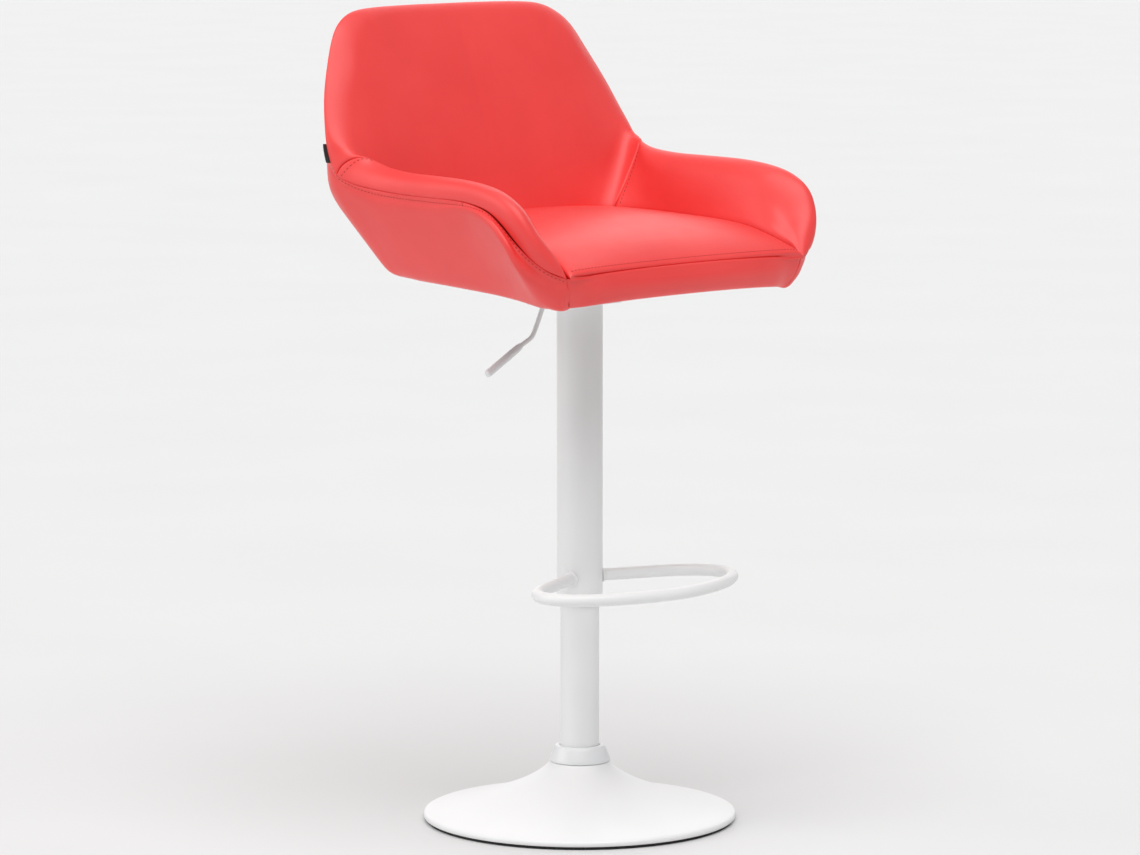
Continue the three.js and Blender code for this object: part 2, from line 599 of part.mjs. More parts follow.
function makeCushion() {
  const whole = [...CUSHION_OUTLINE, ...CUSHION_OUTLINE.slice(1, -1).reverse().map(([x, y]) => [-x, y])];
  const foot = whole.map(([x, y]) => [x * 0.895, y > 0 ? y * 0.7 : y, 727]);
  const crown = (scale, rise) => whole.map(([x, y]) => [x * scale, (y + 30) * scale - 30, edgeHeight(y) + rise]);
  const middle = whole.map(([x, y]) => [x * 0.25, (y + 30) * 0.25 - 30, 794]);
  const cushion = loft([foot, crown(1, -4), crown(0.965, 0), crown(0.65, 6), middle]);
  add("seat_cushion", cut(cushion, box(-220, 220, -220, -172.2, 700, 742)), redLeather);
  const profile = [[-172.4, 705], [-193, 705], [-202, 712], [-204, 726], [-200, 741.6], [-172.4, 741.6]];
  const shape = new THREE.Shape(profile.map(([y, z]) => new THREE.Vector2(y, z)));
  const band = new THREE.ExtrudeGeometry(shape, { depth: 352, bevelEnabled: false });
  const lie = new THREE.Matrix4().makeBasis(new THREE.Vector3(0, 1, 0), new THREE.Vector3(0, 0, 1), new THREE.Vector3(1, 0, 0));
  add("front_band", band.translate(0, 0, -176).applyMatrix4(lie), redLeather);
}

makeBase();
makeLowerTube();
makeThrustBearing();
makeRod();
makePressureTube();
makeUpperTube();
makeFootrest();
makePlate();
makeHousing();
makeLever();
makeFasteners();
makeBoard();
makeBack();
makeTag();
makeArms();
makeCushion();

export default stool;
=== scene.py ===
"""Looks for the adjustable swivel stool: upholstered bucket seat, painted column, footrest and trumpet base.

The seat's shapes are given in millimetres from the column's axis, with -Y to the front. mm() places them in
the frame, which is in metres.
"""

import json
import math

import bmesh
import bpy
import numpy as np
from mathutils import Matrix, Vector
from mathutils.bvhtree import BVHTree
from mathutils.geometry import tessellate_polygon
from mathutils.kdtree import KDTree


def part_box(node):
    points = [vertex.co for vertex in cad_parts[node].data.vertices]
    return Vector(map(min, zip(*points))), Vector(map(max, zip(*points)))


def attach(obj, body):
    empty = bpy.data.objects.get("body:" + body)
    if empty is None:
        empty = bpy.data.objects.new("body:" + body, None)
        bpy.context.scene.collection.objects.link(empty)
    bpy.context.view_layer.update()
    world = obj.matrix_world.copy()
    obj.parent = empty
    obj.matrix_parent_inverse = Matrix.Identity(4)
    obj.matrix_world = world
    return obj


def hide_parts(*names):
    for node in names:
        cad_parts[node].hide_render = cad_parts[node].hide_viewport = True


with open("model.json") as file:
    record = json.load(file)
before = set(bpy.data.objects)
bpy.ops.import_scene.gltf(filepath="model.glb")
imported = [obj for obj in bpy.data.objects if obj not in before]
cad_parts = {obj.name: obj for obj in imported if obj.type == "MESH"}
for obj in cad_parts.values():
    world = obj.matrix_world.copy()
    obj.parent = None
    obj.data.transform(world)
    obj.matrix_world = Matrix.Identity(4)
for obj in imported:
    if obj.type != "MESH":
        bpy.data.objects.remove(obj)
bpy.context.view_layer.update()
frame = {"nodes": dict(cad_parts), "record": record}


def node_middle(name):
    low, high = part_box(name)
    return (low + high) / 2


COLUMN = node_middle("upper_tube")
AXIS_Y = COLUMN.y  # metres: the column's axis stands at x = 0

# Camera: at the photo's angle, above the seat and looking a little down
CAMERA_AZIMUTH = -45.0  # degrees
CAMERA_DISTANCE = 6.5  # metres from the column's axis
CAMERA_HEIGHT = 1.3593  # metres
CAMERA_PITCH = 7.377  # degrees down
CAMERA_YAW = 0.112  # degrees
CAMERA_LENS, CAMERA_SENSOR = 158.9, 36  # millimetres
CAMERA_REACH = 100  # metres

# Light and floor
SUNS = [  # name, azimuth and elevation in degrees, strength, spread in degrees
    ("top", -40, 68, 2.15, 60),
    ("side", -128, 24, 0.7, 40),
    ("rear", 135, 22, 0.7, 60),
]
WORLD_LIGHT = 0.36  # what the world adds to the suns
WORLD_SEEN = 0.88  # how bright the world looks to the camera
FLOOR_HALF = 400  # metres

# Upholstery, in millimetres
SEAM_GAP = 0.4  # between two sewn panels
WRAP_THICKNESS = 4.0  # of the outer cover
SEAM_ROLL = 1.7  # the most that a pad's edge is rounded along the outer seam
END_ROLL = 3.2  # how far a pad's end turns in
STEPS = 4  # columns of mesh between two stations
ROUND_MOST = 0.45  # the share of an edge that the rounding of one corner may take

# Cloth simulation of the pads
ARM_SWELL, BACK_SWELL, CUSHION_SWELL = 0.004, 0.006, 0.006  # metres, the most that a point may move
SWELL_REACH = 45  # millimetres from a pad's ends to where it moves freely
CLOTH_VOXEL = 0.006  # metres
CLOTH_FRAMES = 20
CLOTH_PRESSURE = 4
CLOTH_QUALITY, CLOTH_MASS, CLOTH_DAMPING = 6, 0.35, 2
CLOTH_STRETCH, CLOTH_SHEAR, CLOTH_BENDING = 18, 6, 4  # stiffness

# Stitches, in millimetres
STITCH_PITCH, STITCH_LENGTH, STITCH_WIDTH = 5.8, 4.0, 0.5
STITCH_SIDES = 6
STITCH_PROFILE = [  # place along the thread, thickness, height
    (-0.5, 0.3, -0.7),
    (-0.32, 0.85, 0.0),
    (0.0, 1.0, 0.25),
    (0.32, 0.85, 0.0),
    (0.5, 0.3, -0.7),
]

# ---- Small tools ---------------------------------------------------------------------------------


def mm(points):
    """Millimetres from the column's axis to metres in the frame."""
    points = np.asarray(points, float) / 1000.0
    points[..., 1] += AXIS_Y
    return points


def smooth(stations, steps=STEPS):
    """A Catmull-Rom curve through the stations, with a number of steps between each two."""
    p = np.asarray(stations, float)
    p = np.concatenate([[2 * p[0] - p[1]], p, [2 * p[-1] - p[-2]]])
    t = (np.arange(steps) / steps)[:, None]
    spans = []
    for a, b, c, d in zip(p[:-3], p[1:-2], p[2:-1], p[3:]):
        spans.append(
            0.5 * (2 * b + (c - a) * t + (2 * a - 5 * b + 4 * c - d) * t**2 + (3 * b - a - 3 * c + d) * t**3)
        )
    return np.concatenate([*spans, [p[-2]]])


def distances(line):
    """How far along a line each of its points is."""
    steps = np.linalg.norm(np.diff(line, axis=0), axis=1)
    return np.concatenate([[0], np.cumsum(steps)])


def points_at(line, where):
    """Points at given distances along a line."""
    at = distances(line)
    return np.stack([np.interp(where, at, line[:, k]) for k in range(3)], axis=1)


def evenly(line, count):
    """A line's points spread evenly along its length."""
    return points_at(line, np.linspace(0, distances(line)[-1], count))


def lengths(vectors):
    """The length of each vector, never quite zero, so that it can be divided by."""
    return np.maximum(np.linalg.norm(vectors, axis=-1, keepdims=True), 1e-9)


def between(value, start, end):
    """0 below the start, 1 above the end, and evenly spread between."""
    return np.clip((value - start) / (end - start), 0, 1)


def mix(a, b, share):
    return np.asarray(a, float) * (1 - share) + np.asarray(b, float) * share


def mirror(grid):
    """The other half of a grid whose first axis runs from one end to the middle of the stool."""
    other = grid[:-1][::-1] * np.array([-1, 1, 1])
    return np.concatenate([grid, other])


def normals_of(grid):
    """Unit normals of a grid of points, from its own steps in both directions."""
    along = np.gradient(grid, axis=0)
    across = np.gradient(grid, axis=1)
    n = np.cross(along, across)
    return n / lengths(n)


def new_object(name, points, faces):
    mesh = bpy.data.meshes.new(name)
    mesh.from_pydata([tuple(p) for p in points], [], faces)
    tidy = bmesh.new()
    tidy.from_mesh(mesh)
    bmesh.ops.remove_doubles(tidy, verts=tidy.verts, dist=1e-6)
    bmesh.ops.recalc_face_normals(tidy, faces=tidy.faces)
    tidy.to_mesh(mesh)
    tidy.free()
    for polygon in mesh.polygons:
        polygon.use_smooth = True
    obj = bpy.data.objects.new(name, mesh)
    bpy.context.scene.collection.objects.link(obj)
    return obj


def loops_to_solid(name, loops):
    """A closed solid through closed loops of points in millimetres, with a flat face at each end."""
    loops = np.asarray(loops, float)
    count, size = loops.shape[:2]
    faces = []
    for i in range(count - 1):
        for k in range(size):
            a, b = i * size + k, i * size + (k + 1) % size
            faces.append((a, b, b + size, a + size))
    for first in (0, count - 1):
        flat = tessellate_polygon([[Vector(p) for p in loops[first]]])
        faces += [tuple(first * size + k for k in triangle) for triangle in flat]
    return new_object(name, mm(loops).reshape(-1, 3), faces)


def ring_of_loops(name, loops):
    """As loops_to_solid, but the last loop joins on to the first."""
    loops = np.asarray(loops, float)
    count, size = loops.shape[:2]
    faces = []
    for i in range(count):
        j = (i + 1) % count
        for k in range(size):
            m = (k + 1) % size
            faces.append((i * size + k, i * size + m, j * size + m, j * size + k))
    return new_object(name, mm(loops).reshape(-1, 3), faces)


def inward_normals(loop, along):
    """For each point of a closed loop, the direction into the section."""
    around = np.roll(loop, -1, axis=0) - np.roll(loop, 1, axis=0)
    n = np.cross(around, along)
    n /= lengths(n)
    return n if np.sum(n * (loop.mean(axis=0) - loop)) > 0 else -n


def rolled_end(loops):
    """Closes the last section with a rounded edge, as leather turns in at a seam."""
    end, along = loops[-1], loops[-1] - loops[-2]
    along = along / lengths(along)
    inward = inward_normals(end, along)
    steps = [(1.0, 0.0), (0.5, 0.12), (0.2, 0.36), (0.04, 0.75), (0.0, 1.3)]  # back from the end, and in
    extra = []
    for back, depth in steps:
        extra.append(end - along * (END_ROLL * back + SEAM_GAP / 2) + inward * END_ROLL * depth)
    return np.concatenate([loops[:-1], extra])


def rounded(points, radii, steps=4):
    """Rows of points along a line of corners, [corner, column, xyz], with each inner corner rounded."""
    rows = [points[0]]
    for before, corner, after, radius in zip(points[:-2], points[1:-1], points[2:], radii):
        to_before, to_after = before - corner, after - corner
        back, ahead = lengths(to_before), lengths(to_after)
        a = corner + to_before / back * np.minimum(radius, back * ROUND_MOST)
        b = corner + to_after / ahead * np.minimum(radius, ahead * ROUND_MOST)
        rows += [(1 - t) ** 2 * a + 2 * t * (1 - t) * corner + t**2 * b for t in np.linspace(0, 1, steps)]
    return [*rows, points[-1]]


def refine(obj):
    sub = obj.modifiers.new("smooth", "SUBSURF")
    sub.levels = sub.render_levels = 1
    return obj


def tree_of(points):
    tree = KDTree(len(points))
    for i, p in enumerate(points):
        tree.insert(p, i)
    tree.balance()
    return tree


def looked_up(tree, values, points, count=4):
    """Values at other points, as the average of the nearest known ones, the nearer the stronger."""
    found = []
    for p in points:
        near = tree.find_n(p, count)
        shares = np.array([1 / (distance + 1e-5) for _, _, distance in near])
        found.append(shares @ values[[i for _, i, _ in near]] / shares.sum())
    return np.array(found)


def coordinates(vertices):
    flat = np.empty(len(vertices) * 3)
    vertices.foreach_get("co", flat)
    return flat.reshape(-1, 3)


def baked(obj):
    """The object's mesh with its modifiers applied."""
    bpy.context.view_layer.update()
    graph = bpy.context.evaluated_depsgraph_get()
    graph.update()
    return bpy.data.meshes.new_from_object(obj.evaluated_get(graph))


def cloth_swell(mesh, known, freedom):
    """Blows a remeshed copy up as cloth, held where it isn't free. Returns its points and how they moved."""
    skin = bpy.data.objects.new("cloth_copy", mesh.copy())
    bpy.context.scene.collection.objects.link(skin)
    remesh = skin.modifiers.new("remesh", "REMESH")
    remesh.mode, remesh.voxel_size = "VOXEL", CLOTH_VOXEL
    skin.data = baked(skin)
    skin.modifiers.clear()
    start = coordinates(skin.data.vertices)
    hold = skin.vertex_groups.new(name="hold")
    for i, free in enumerate(looked_up(known, freedom, start)):
        hold.add([i], float(np.clip(1.15 - free * 1.3, 0, 1)), "REPLACE")
    cloth = skin.modifiers.new("cloth", "CLOTH")
    cloth.point_cache.frame_start, cloth.point_cache.frame_end = 1, CLOTH_FRAMES
    leather = cloth.settings
    leather.quality, leather.mass, leather.air_damping = CLOTH_QUALITY, CLOTH_MASS, CLOTH_DAMPING
    leather.tension_stiffness = leather.compression_stiffness = CLOTH_STRETCH
    leather.shear_stiffness, leather.bending_stiffness = CLOTH_SHEAR, CLOTH_BENDING
    leather.use_pressure, leather.uniform_pressure_force = True, CLOTH_PRESSURE
    leather.effector_weights.gravity = 0
    leather.vertex_group_mass = "hold"
    for frame_number in range(1, CLOTH_FRAMES + 1):
        bpy.context.scene.frame_set(frame_number)
    graph = bpy.context.evaluated_depsgraph_get()
    moved = coordinates(skin.evaluated_get(graph).data.vertices) - start
    bpy.data.objects.remove(skin)
    bpy.context.scene.frame_set(1)
    return start, moved


def padded_piece(obj, loops, freedom, cap):
    """Swells a pad as cloth: each of its points may move by up to the cap, in metres, where it is free."""
    refine(obj)
    mesh = baked(obj)
    known, freedom = tree_of(mm(loops).reshape(-1, 3)), np.ravel(freedom)
    start, moved = cloth_swell(mesh, known, freedom)
    points = coordinates(mesh.vertices)
    step = looked_up(tree_of(start), moved, points, 5)
    step *= np.minimum(1, cap / lengths(step))
    points += step * np.clip(looked_up(known, freedom, points), 0, 1)[:, None]
    mesh.vertices.foreach_set("co", points.ravel())
    obj.modifiers.clear()
    obj.data = mesh
    refine(obj)


def finish_piece(obj, body, slot, replaced=(), look=None):
    """Gives a piece its body and the look of its material slot, unless another look is given."""
    obj.data.materials.clear()
    obj.data.materials.append(look or LOOKS[slot])
    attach(obj, body)
    if replaced:
        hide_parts(*replaced)


# ---- Materials -----------------------------------------------------------------------------------


class Look:
    """A procedural material, built node by node round one Principled shader."""

    def __init__(self, name, color, roughness, **sockets):
        self.material = bpy.data.materials.new(name)
        self.material.use_nodes = True
        self.tree = self.material.node_tree
        self.shader = self.tree.nodes["Principled BSDF"]
        self.shader.inputs["Base Color"].default_value = (*color, 1)
        self.shader.inputs["Roughness"].default_value = roughness
        for key, value in sockets.items():
            self.shader.inputs[key.replace("_", " ")].default_value = value
        self.place = self.add("ShaderNodeTexCoord").outputs["Object"]

    def add(self, kind, **settings):
        node = self.tree.nodes.new(kind)
        for key, value in settings.items():
            setattr(node, key, value)
        return node

    def link(self, output, socket):
        self.tree.links.new(output, socket)

    def noise(self, scale, detail=2.0, roughness=0.5, stretch=None):
        node = self.add("ShaderNodeTexNoise")
        node.inputs["Scale"].default_value = scale
        node.inputs["Detail"].default_value = detail
        node.inputs["Roughness"].default_value = roughness
        self.link(self.stretched(stretch), node.inputs["Vector"])
        return node.outputs["Fac"]

    def cells(self, scale):
        node = self.add("ShaderNodeTexVoronoi", feature="DISTANCE_TO_EDGE")
        node.inputs["Scale"].default_value = scale
        self.link(self.place, node.inputs["Vector"])
        return node.outputs["Distance"]

    def stretched(self, stretch):
        if stretch is None:
            return self.place
        node = self.add("ShaderNodeMapping")
        node.inputs["Scale"].default_value = stretch
        self.link(self.place, node.inputs["Vector"])
        return node.outputs["Vector"]

    def bands(self, scale, direction):
        node = self.add("ShaderNodeTexWave", wave_type="BANDS", bands_direction=direction)
        node.inputs["Scale"].default_value = scale
        self.link(self.place, node.inputs["Vector"])
        return node.outputs["Fac"]

    def product(self, a, b):
        node = self.add("ShaderNodeMath", operation="MULTIPLY")
        self.link(a, node.inputs[0])
        self.link(b, node.inputs[1])
        return node.outputs["Value"]

    def ramp(self, value, low, high):
        """value from 0 to 1 spread from low to high."""
        node = self.add("ShaderNodeMapRange")
        node.inputs["To Min"].default_value = low
        node.inputs["To Max"].default_value = high
        self.link(value, node.inputs["Value"])
        return node.outputs["Result"]

    def colors(self, value, *stops):
        node = self.add("ShaderNodeValToRGB")
        elements = node.color_ramp.elements
        while len(elements) < len(stops):
            elements.new(0.5)
        for element, (at, color) in zip(elements, stops):
            element.position = at
            element.color = (*color, 1)
        self.link(value, node.inputs["Fac"])
        self.link(node.outputs["Color"], self.shader.inputs["Base Color"])

    def vary_roughness(self, value, low, high):
        self.link(self.ramp(value, low, high), self.shader.inputs["Roughness"])

    def bump(self, height, distance, strength=1.0):
        """Adds a layer of relief, distance deep in metres."""
        node = self.add("ShaderNodeBump")
        node.inputs["Strength"].default_value = strength
        node.inputs["Distance"].default_value = distance
        self.link(height, node.inputs["Height"])
        before = self.shader.inputs["Normal"].links
        if before:
            self.link(before[0].from_socket, node.inputs["Normal"])
        self.link(node.outputs["Normal"], self.shader.inputs["Normal"])


def red_leather():
    gloss = {"Specular_IOR_Level": 0.5, "Coat_Weight": 0.12, "Coat_Roughness": 0.35}
    look = Look("red_leather", (0.9, 0.05, 0.05), 0.42, **gloss)
    look.colors(look.noise(9, 3), (0.3, (0.88, 0.052, 0.049)), (0.7, (0.93, 0.063, 0.059)))
    look.vary_roughness(look.noise(35, 4), 0.36, 0.48)
    look.bump(look.noise(14, 3), 0.0008, 0.25)
    look.bump(look.cells(620), 0.0003, 0.5)
    look.bump(look.noise(1300, 2), 0.0001, 0.5)
    return look.material


def thread():
    # Dark red thread, coloured darker than the thread alone as painted shade of the stitch grooves, which
    # aren't modelled
    look = Look("red_thread_painted_shade", (0.5, 0.02, 0.02), 0.6)
    look.colors(look.noise(400), (0.2, (0.42, 0.012, 0.014)), (0.8, (0.58, 0.03, 0.03)))
    look.bump(look.bands(900, "DIAGONAL"), 0.0002, 0.7)
    return look.material


def white_paint():
    look = Look("white_paint", (0.8, 0.8, 0.8), 0.38, Specular_IOR_Level=0.45)
    look.colors(look.noise(6, 2), (0.3, (0.85, 0.855, 0.855)), (0.7, (0.88, 0.885, 0.885)))
    look.vary_roughness(look.noise(60, 3), 0.32, 0.42)
    look.bump(look.noise(700, 2), 0.00008, 0.35)
    return look.material


def white_plastic():
    look = Look("white_plastic", (0.82, 0.83, 0.84), 0.3, Specular_IOR_Level=0.5)
    look.colors(look.noise(12, 2), (0.3, (0.8, 0.81, 0.82)), (0.7, (0.84, 0.85, 0.86)))
    look.vary_roughness(look.noise(90, 3), 0.24, 0.36)
    look.bump(look.noise(1100, 2), 0.00004, 0.3)
    return look.material


def black_rubber():
    look = Look("black_rubber", (0.014, 0.014, 0.014), 0.75)
    look.colors(look.noise(40, 3), (0.3, (0.01, 0.01, 0.01)), (0.7, (0.022, 0.022, 0.022)))
    look.bump(look.noise(600, 4), 0.0002, 0.5)
    return look.material


def black_fabric():
    look = Look("black_fabric", (0.016, 0.016, 0.018), 0.9, Sheen_Weight=0.3)
    weave = look.product(look.bands(700, "X"), look.bands(700, "Z"))
    look.colors(weave, (0.1, (0.008, 0.008, 0.009)), (0.8, (0.03, 0.03, 0.033)))
    look.bump(weave, 0.0003, 0.8)
    return look.material


def dust_cloth():
    look = Look("dust_cloth", (0.016, 0.016, 0.018), 0.9, Sheen_Weight=0.3)
    weave = look.product(look.bands(500, "X"), look.bands(500, "Y"))
    look.colors(weave, (0.1, (0.008, 0.008, 0.009)), (0.8, (0.03, 0.03, 0.033)))
    look.bump(weave, 0.0004, 0.8)
    return look.material


def bare_steel():
    look = Look("bare_steel", (0.58, 0.59, 0.6), 0.3, Metallic=1.0)
    turned = look.noise(40, 4, 0.6, (1, 1, 60))
    look.colors(turned, (0.3, (0.5, 0.51, 0.52)), (0.7, (0.66, 0.67, 0.68)))
    look.vary_roughness(turned, 0.22, 0.42)
    look.bump(turned, 0.00008, 0.4)
    return look.material


def cast_iron():
    look = Look("cast_iron", (0.06, 0.06, 0.063), 0.7, Metallic=0.7)
    look.colors(look.noise(50, 5), (0.3, (0.04, 0.04, 0.042)), (0.7, (0.09, 0.088, 0.086)))
    look.bump(look.noise(260, 5, 0.7), 0.0006, 0.7)
    return look.material


def plywood():
    look = Look("plywood", (0.6, 0.42, 0.25), 0.65)
    grain = look.noise(6, 6, 0.6, (1, 14, 14))
    look.colors(grain, (0.25, (0.42, 0.27, 0.14)), (0.55, (0.6, 0.42, 0.24)), (0.8, (0.7, 0.53, 0.34)))
    look.bump(grain, 0.0003, 0.4)
    look.vary_roughness(grain, 0.55, 0.8)
    return look.material


def dark_nylon():
    look = Look("dark_nylon", (0.03, 0.03, 0.034), 0.5)
    look.colors(look.noise(30, 3), (0.3, (0.022, 0.022, 0.026)), (0.7, (0.04, 0.04, 0.044)))
    look.bump(look.noise(900, 2), 0.0001, 0.4)
    return look.material


LOOKS = {
    "red_leather": red_leather(),
    "white_paint": white_paint(),
    "white_plastic": white_plastic(),
    "black_rubber": black_rubber(),
    "black_fabric": black_fabric(),
    "steel": bare_steel(),
    "cast_iron": cast_iron(),
    "plywood": plywood(),
    "nylon": dark_nylon(),
}
DUST_CLOTH = dust_cloth()
THREAD_WITH_PAINTED_SHADE = thread()

# ---- Seat stations -------------------------------------------------------------------------------

# From the front corner at the sitter's left to the middle of the back. Each station gives a point on the
# bottom edge, the fold of the outer panel and the outer seam, and then on the crest, the inner shoulder and
# the line where the cushion starts.
ARM_STATIONS = [
    [
        (197, -177, 698), (210, -188, 728), (216.5, -194.5, 741),
        (217, -192.5, 744), (215, -190, 745), (213.5, -189, 744),
    ],
    [
        (204, -173, 695), (220, -182, 722), (240, -186, 750),
        (237, -188, 769), (222, -177, 768), (212, -178, 756),
    ],
    [
        (208, -163, 694), (240, -172, 736), (254, -171, 764),
        (254, -178, 796), (228, -157, 786), (208, -162, 764),
    ],
    [
        (209, -147, 695.5), (267, -160, 757), (264, -153, 785),
        (262, -160, 825), (228, -137, 806), (205.5, -144, 771),
    ],
    [
        (207, -122, 698.5), (278, -149, 785), (269, -131, 808),
        (262, -134, 842), (226, -117, 819), (205, -118, 777),
    ],
    [
        (204, -92, 702), (277, -117, 812), (270, -104, 824),
        (257, -103, 852), (224, -95, 826), (205, -93, 780),
    ],
    [
        (202, -50, 706), (266, -62, 824), (267, -58, 832),
        (251, -57, 858), (220, -53, 828), (205, -50, 783),
    ],
    [
        (200.5, 5, 710), (259, 0, 819), (265, 0, 833),
        (247, 0, 860), (218, 0, 829), (205, 0, 784.5),
    ],
    [
        (200, 60, 714), (257, 60, 819), (263, 60, 834),
        (244, 58, 861), (217, 56, 832), (204, 50, 786),
    ],
    [
        (200, 98, 717), (257, 104, 820), (263, 105, 837),
        (244, 102, 865), (219, 93, 838), (200, 85, 787),
    ],
    [
        (200, 118, 719), (258, 130, 823), (266.5, 142, 842),
        (249, 127, 871), (226, 113, 849), (193, 107, 788),
    ],
    [
        (199.5, 130, 720), (259, 148, 826), (269.5, 172, 851),
        (257, 143, 877), (234, 126, 858), (186, 121, 788),
    ],
]
BACK_STATIONS = [
    ARM_STATIONS[-1],
    [
        (199, 140, 720.5), (260, 168, 829), (270, 181, 866),
        (263, 160, 883), (240, 144, 866), (183, 126, 788),
    ],
    [
        (197, 148, 721), (260, 186, 831), (269, 188, 885),
        (267, 174, 896), (243, 158, 881), (179, 130, 788),
    ],
    [
        (192, 156, 722), (252, 204, 830), (266, 193, 907),
        (261, 188, 920), (237, 170, 904), (171, 135, 788),
    ],
    [
        (184, 162, 722), (239, 219, 829), (254, 208, 944),
        (247, 203, 957), (223, 185, 942), (158, 139, 788),
    ],
    [
        (173, 166, 722), (222, 228, 828), (236, 221, 984),
        (229, 217, 993), (206, 197, 978), (143, 141, 788),
    ],
    [
        (160, 168, 722), (204, 232, 828), (216, 233, 1018),
        (210, 229, 1027), (188, 210, 1009), (127, 142, 788),
    ],
    [
        (146, 168, 722), (185, 234, 828), (195, 242, 1037),
        (189, 238, 1046), (169, 219, 1028), (111, 143, 788),
    ],
    [
        (125, 168, 722), (161, 235, 828), (168, 249, 1048),
        (163, 244, 1056.5), (147, 226, 1040), (92, 143.5, 788),
    ],
    [
        (95, 168.5, 722), (121, 236, 828), (125, 254, 1052),
        (122, 248.5, 1060), (109, 232, 1045), (66, 144, 788),
    ],
    [
        (48, 169, 722), (61, 237, 828), (62, 257, 1053),
        (61, 251.5, 1061), (55, 235, 1046), (33, 144, 788),
    ],
    [
        (0, 169, 722), (0, 237.5, 828), (0, 258, 1053),
        (0, 252.5, 1061), (0, 236, 1046), (0, 144, 788),
    ],
]
BOTTOM, FOLD, SEAM, CREST, SHOULDER, CUSHION = range(6)
SEAT_MIDDLE = [0, 40, 850]

# The outer cover turns under the seat as far as the edge of the seat board
FOLD_IN = 172.5  # half width
FOLD_FRONT, FOLD_REAR = -172.5, 100.5
FOLD_HEIGHT = 712.9


def line_of(stations, which, steps=STEPS):
    return smooth([s[which] for s in stations], steps)


def folded_edge(bottom):
    """Where the outer cover ends under the seat, level with each point of the bottom edge."""
    x = np.minimum(np.abs(bottom[:, 0]) * 0.86, FOLD_IN) * np.sign(bottom[:, 0])
    x = np.where(bottom[:, 1] < 100, FOLD_IN * np.sign(bottom[:, 0]), x)
    y = np.clip(bottom[:, 1], FOLD_FRONT, FOLD_REAR)
    return np.stack([x, y, np.full(len(x), FOLD_HEIGHT)], axis=1)


# Small folds in the leather where the arm's end meets the cushion: line, width, depth
CORNER_FOLDS = [
    ([(216, -163, 776), (210, -150, 782), (206, -134, 784)], 4.5, 2.6),
    ([(222, -172, 778), (218, -158, 792), (215, -146, 800)], 5.5, 1.6),
]


CORNER_FOLD_POINTS = 40


def dented(points, line, width, depth):
    """Points near a line pressed a little away from the middle of the seat, most at the line's middle."""
    line = evenly(np.asarray(line, float), CORNER_FOLD_POINTS)
    away = np.linalg.norm(points[..., None, :] - line, axis=-1)
    nearest = away.argmin(axis=-1)
    fade = np.sin(math.pi * (nearest + 1) / (CORNER_FOLD_POINTS + 2)) ** 0.6
    push = depth * fade * np.exp(-((away.min(axis=-1) / width) ** 2))
    side = np.sign(line[0, 0])
    return points + push[..., None] * [0.8 * side, 0.3, -0.5]


def outer_grid(stations):
    """The outer cover from the edge of the seat board, round the bottom edge and up to the outer seam."""
    bottom, fold, seam = (line_of(stations, which) for which in (BOTTOM, FOLD, SEAM))
    forward, backward = -bottom[:, 1:2], bottom[:, 1:2]
    bottom_turn = 13 + 17 * between(forward, 140, 190)
    fold_turn = 9 + 15 * between(backward, 60, 120)
    corners = [folded_edge(bottom), bottom, mix(bottom, fold, 0.55), fold, mix(fold, seam, 0.5), seam]
    grid = np.stack(rounded(corners, [bottom_turn, 30, fold_turn, 3]), axis=1)
    side = 1 - between(backward, 100, 160)[..., None]
    share = np.linspace(0, 1, grid.shape[1])[None, :, None]
    out = normals_of(grid)
    out *= np.sign(np.sum(out * (grid - SEAT_MIDDLE), axis=(1, 2), keepdims=True))
    grid = grid + out * np.sin(math.pi * share) ** 2 * (2.5 * side + 2.0)  # a little full between its edges
    last = grid[:, -1] - grid[:, -2]
    grid[:, -1] -= last / lengths(last) * SEAM_GAP
    return grid


def thick_cover(name, grid):
    """A closed sheet: the grid, and a copy of it moved inwards, which is forwards in the back."""
    n = normals_of(grid)
    if n[len(n) // 2, grid.shape[1] // 2, 1] > 0:
        n = -n
    inner = grid + n * WRAP_THICKNESS
    return loops_to_solid(name, np.concatenate([grid, inner[:, ::-1]], axis=1))


ARCH = np.radians([12, 32, 55, 78, 100, 122, 145, 168])  # round a pad's top, from the outer seam inwards
FACE = [0.12, 0.3, 0.5, 0.7, 0.88, 1.0]  # down a pad's inner face, from the shoulder to the cushion
INSIDE = [0.42, 0.58, 0.72]  # rows of the outer cover that a pad's hidden side follows
FACE_FIRST, FACE_LAST = 10, 16  # the points of a section on its inner face
PAD_FLOOR = 731
BACK_CROWN, BACK_HALF = 7, 250


def pad_loops(stations, wrap):
    """Sections of a pad: from the outer seam over its top to the cushion, and back inside the cover."""
    seam, crest, shoulder, cushion = (line_of(stations, which) for which in (SEAM, CREST, SHOULDER, CUSHION))
    middle = (seam + shoulder) / 2
    up, side = crest - middle, seam - middle
    arch = [middle + side * math.cos(a) + up * math.sin(a) for a in ARCH]
    width = lengths(side)
    roll = np.minimum(SEAM_ROLL, width * 0.2)
    along, lift = side / width, up / lengths(up)
    edge = [
        seam - along * roll * 2.2 + lift * 0.1,
        seam - along * roll * 0.25 + lift * 0.25,
        seam + along * 0.15 + lift * roll * 0.65,
    ]
    face = [mix(shoulder, cushion, share) for share in FACE]
    low = cushion + (cushion - shoulder) * [[0.12, 0.12, 0.0]] - [0, 0, 24]
    low[:, 2] = np.maximum(low[:, 2], PAD_FLOOR)
    inside = [mix(wrap[:, int(row * (wrap.shape[1] - 1))], cushion, 0.28) for row in INSIDE]
    return np.stack([*edge, *arch, *face, low, *inside], axis=1)


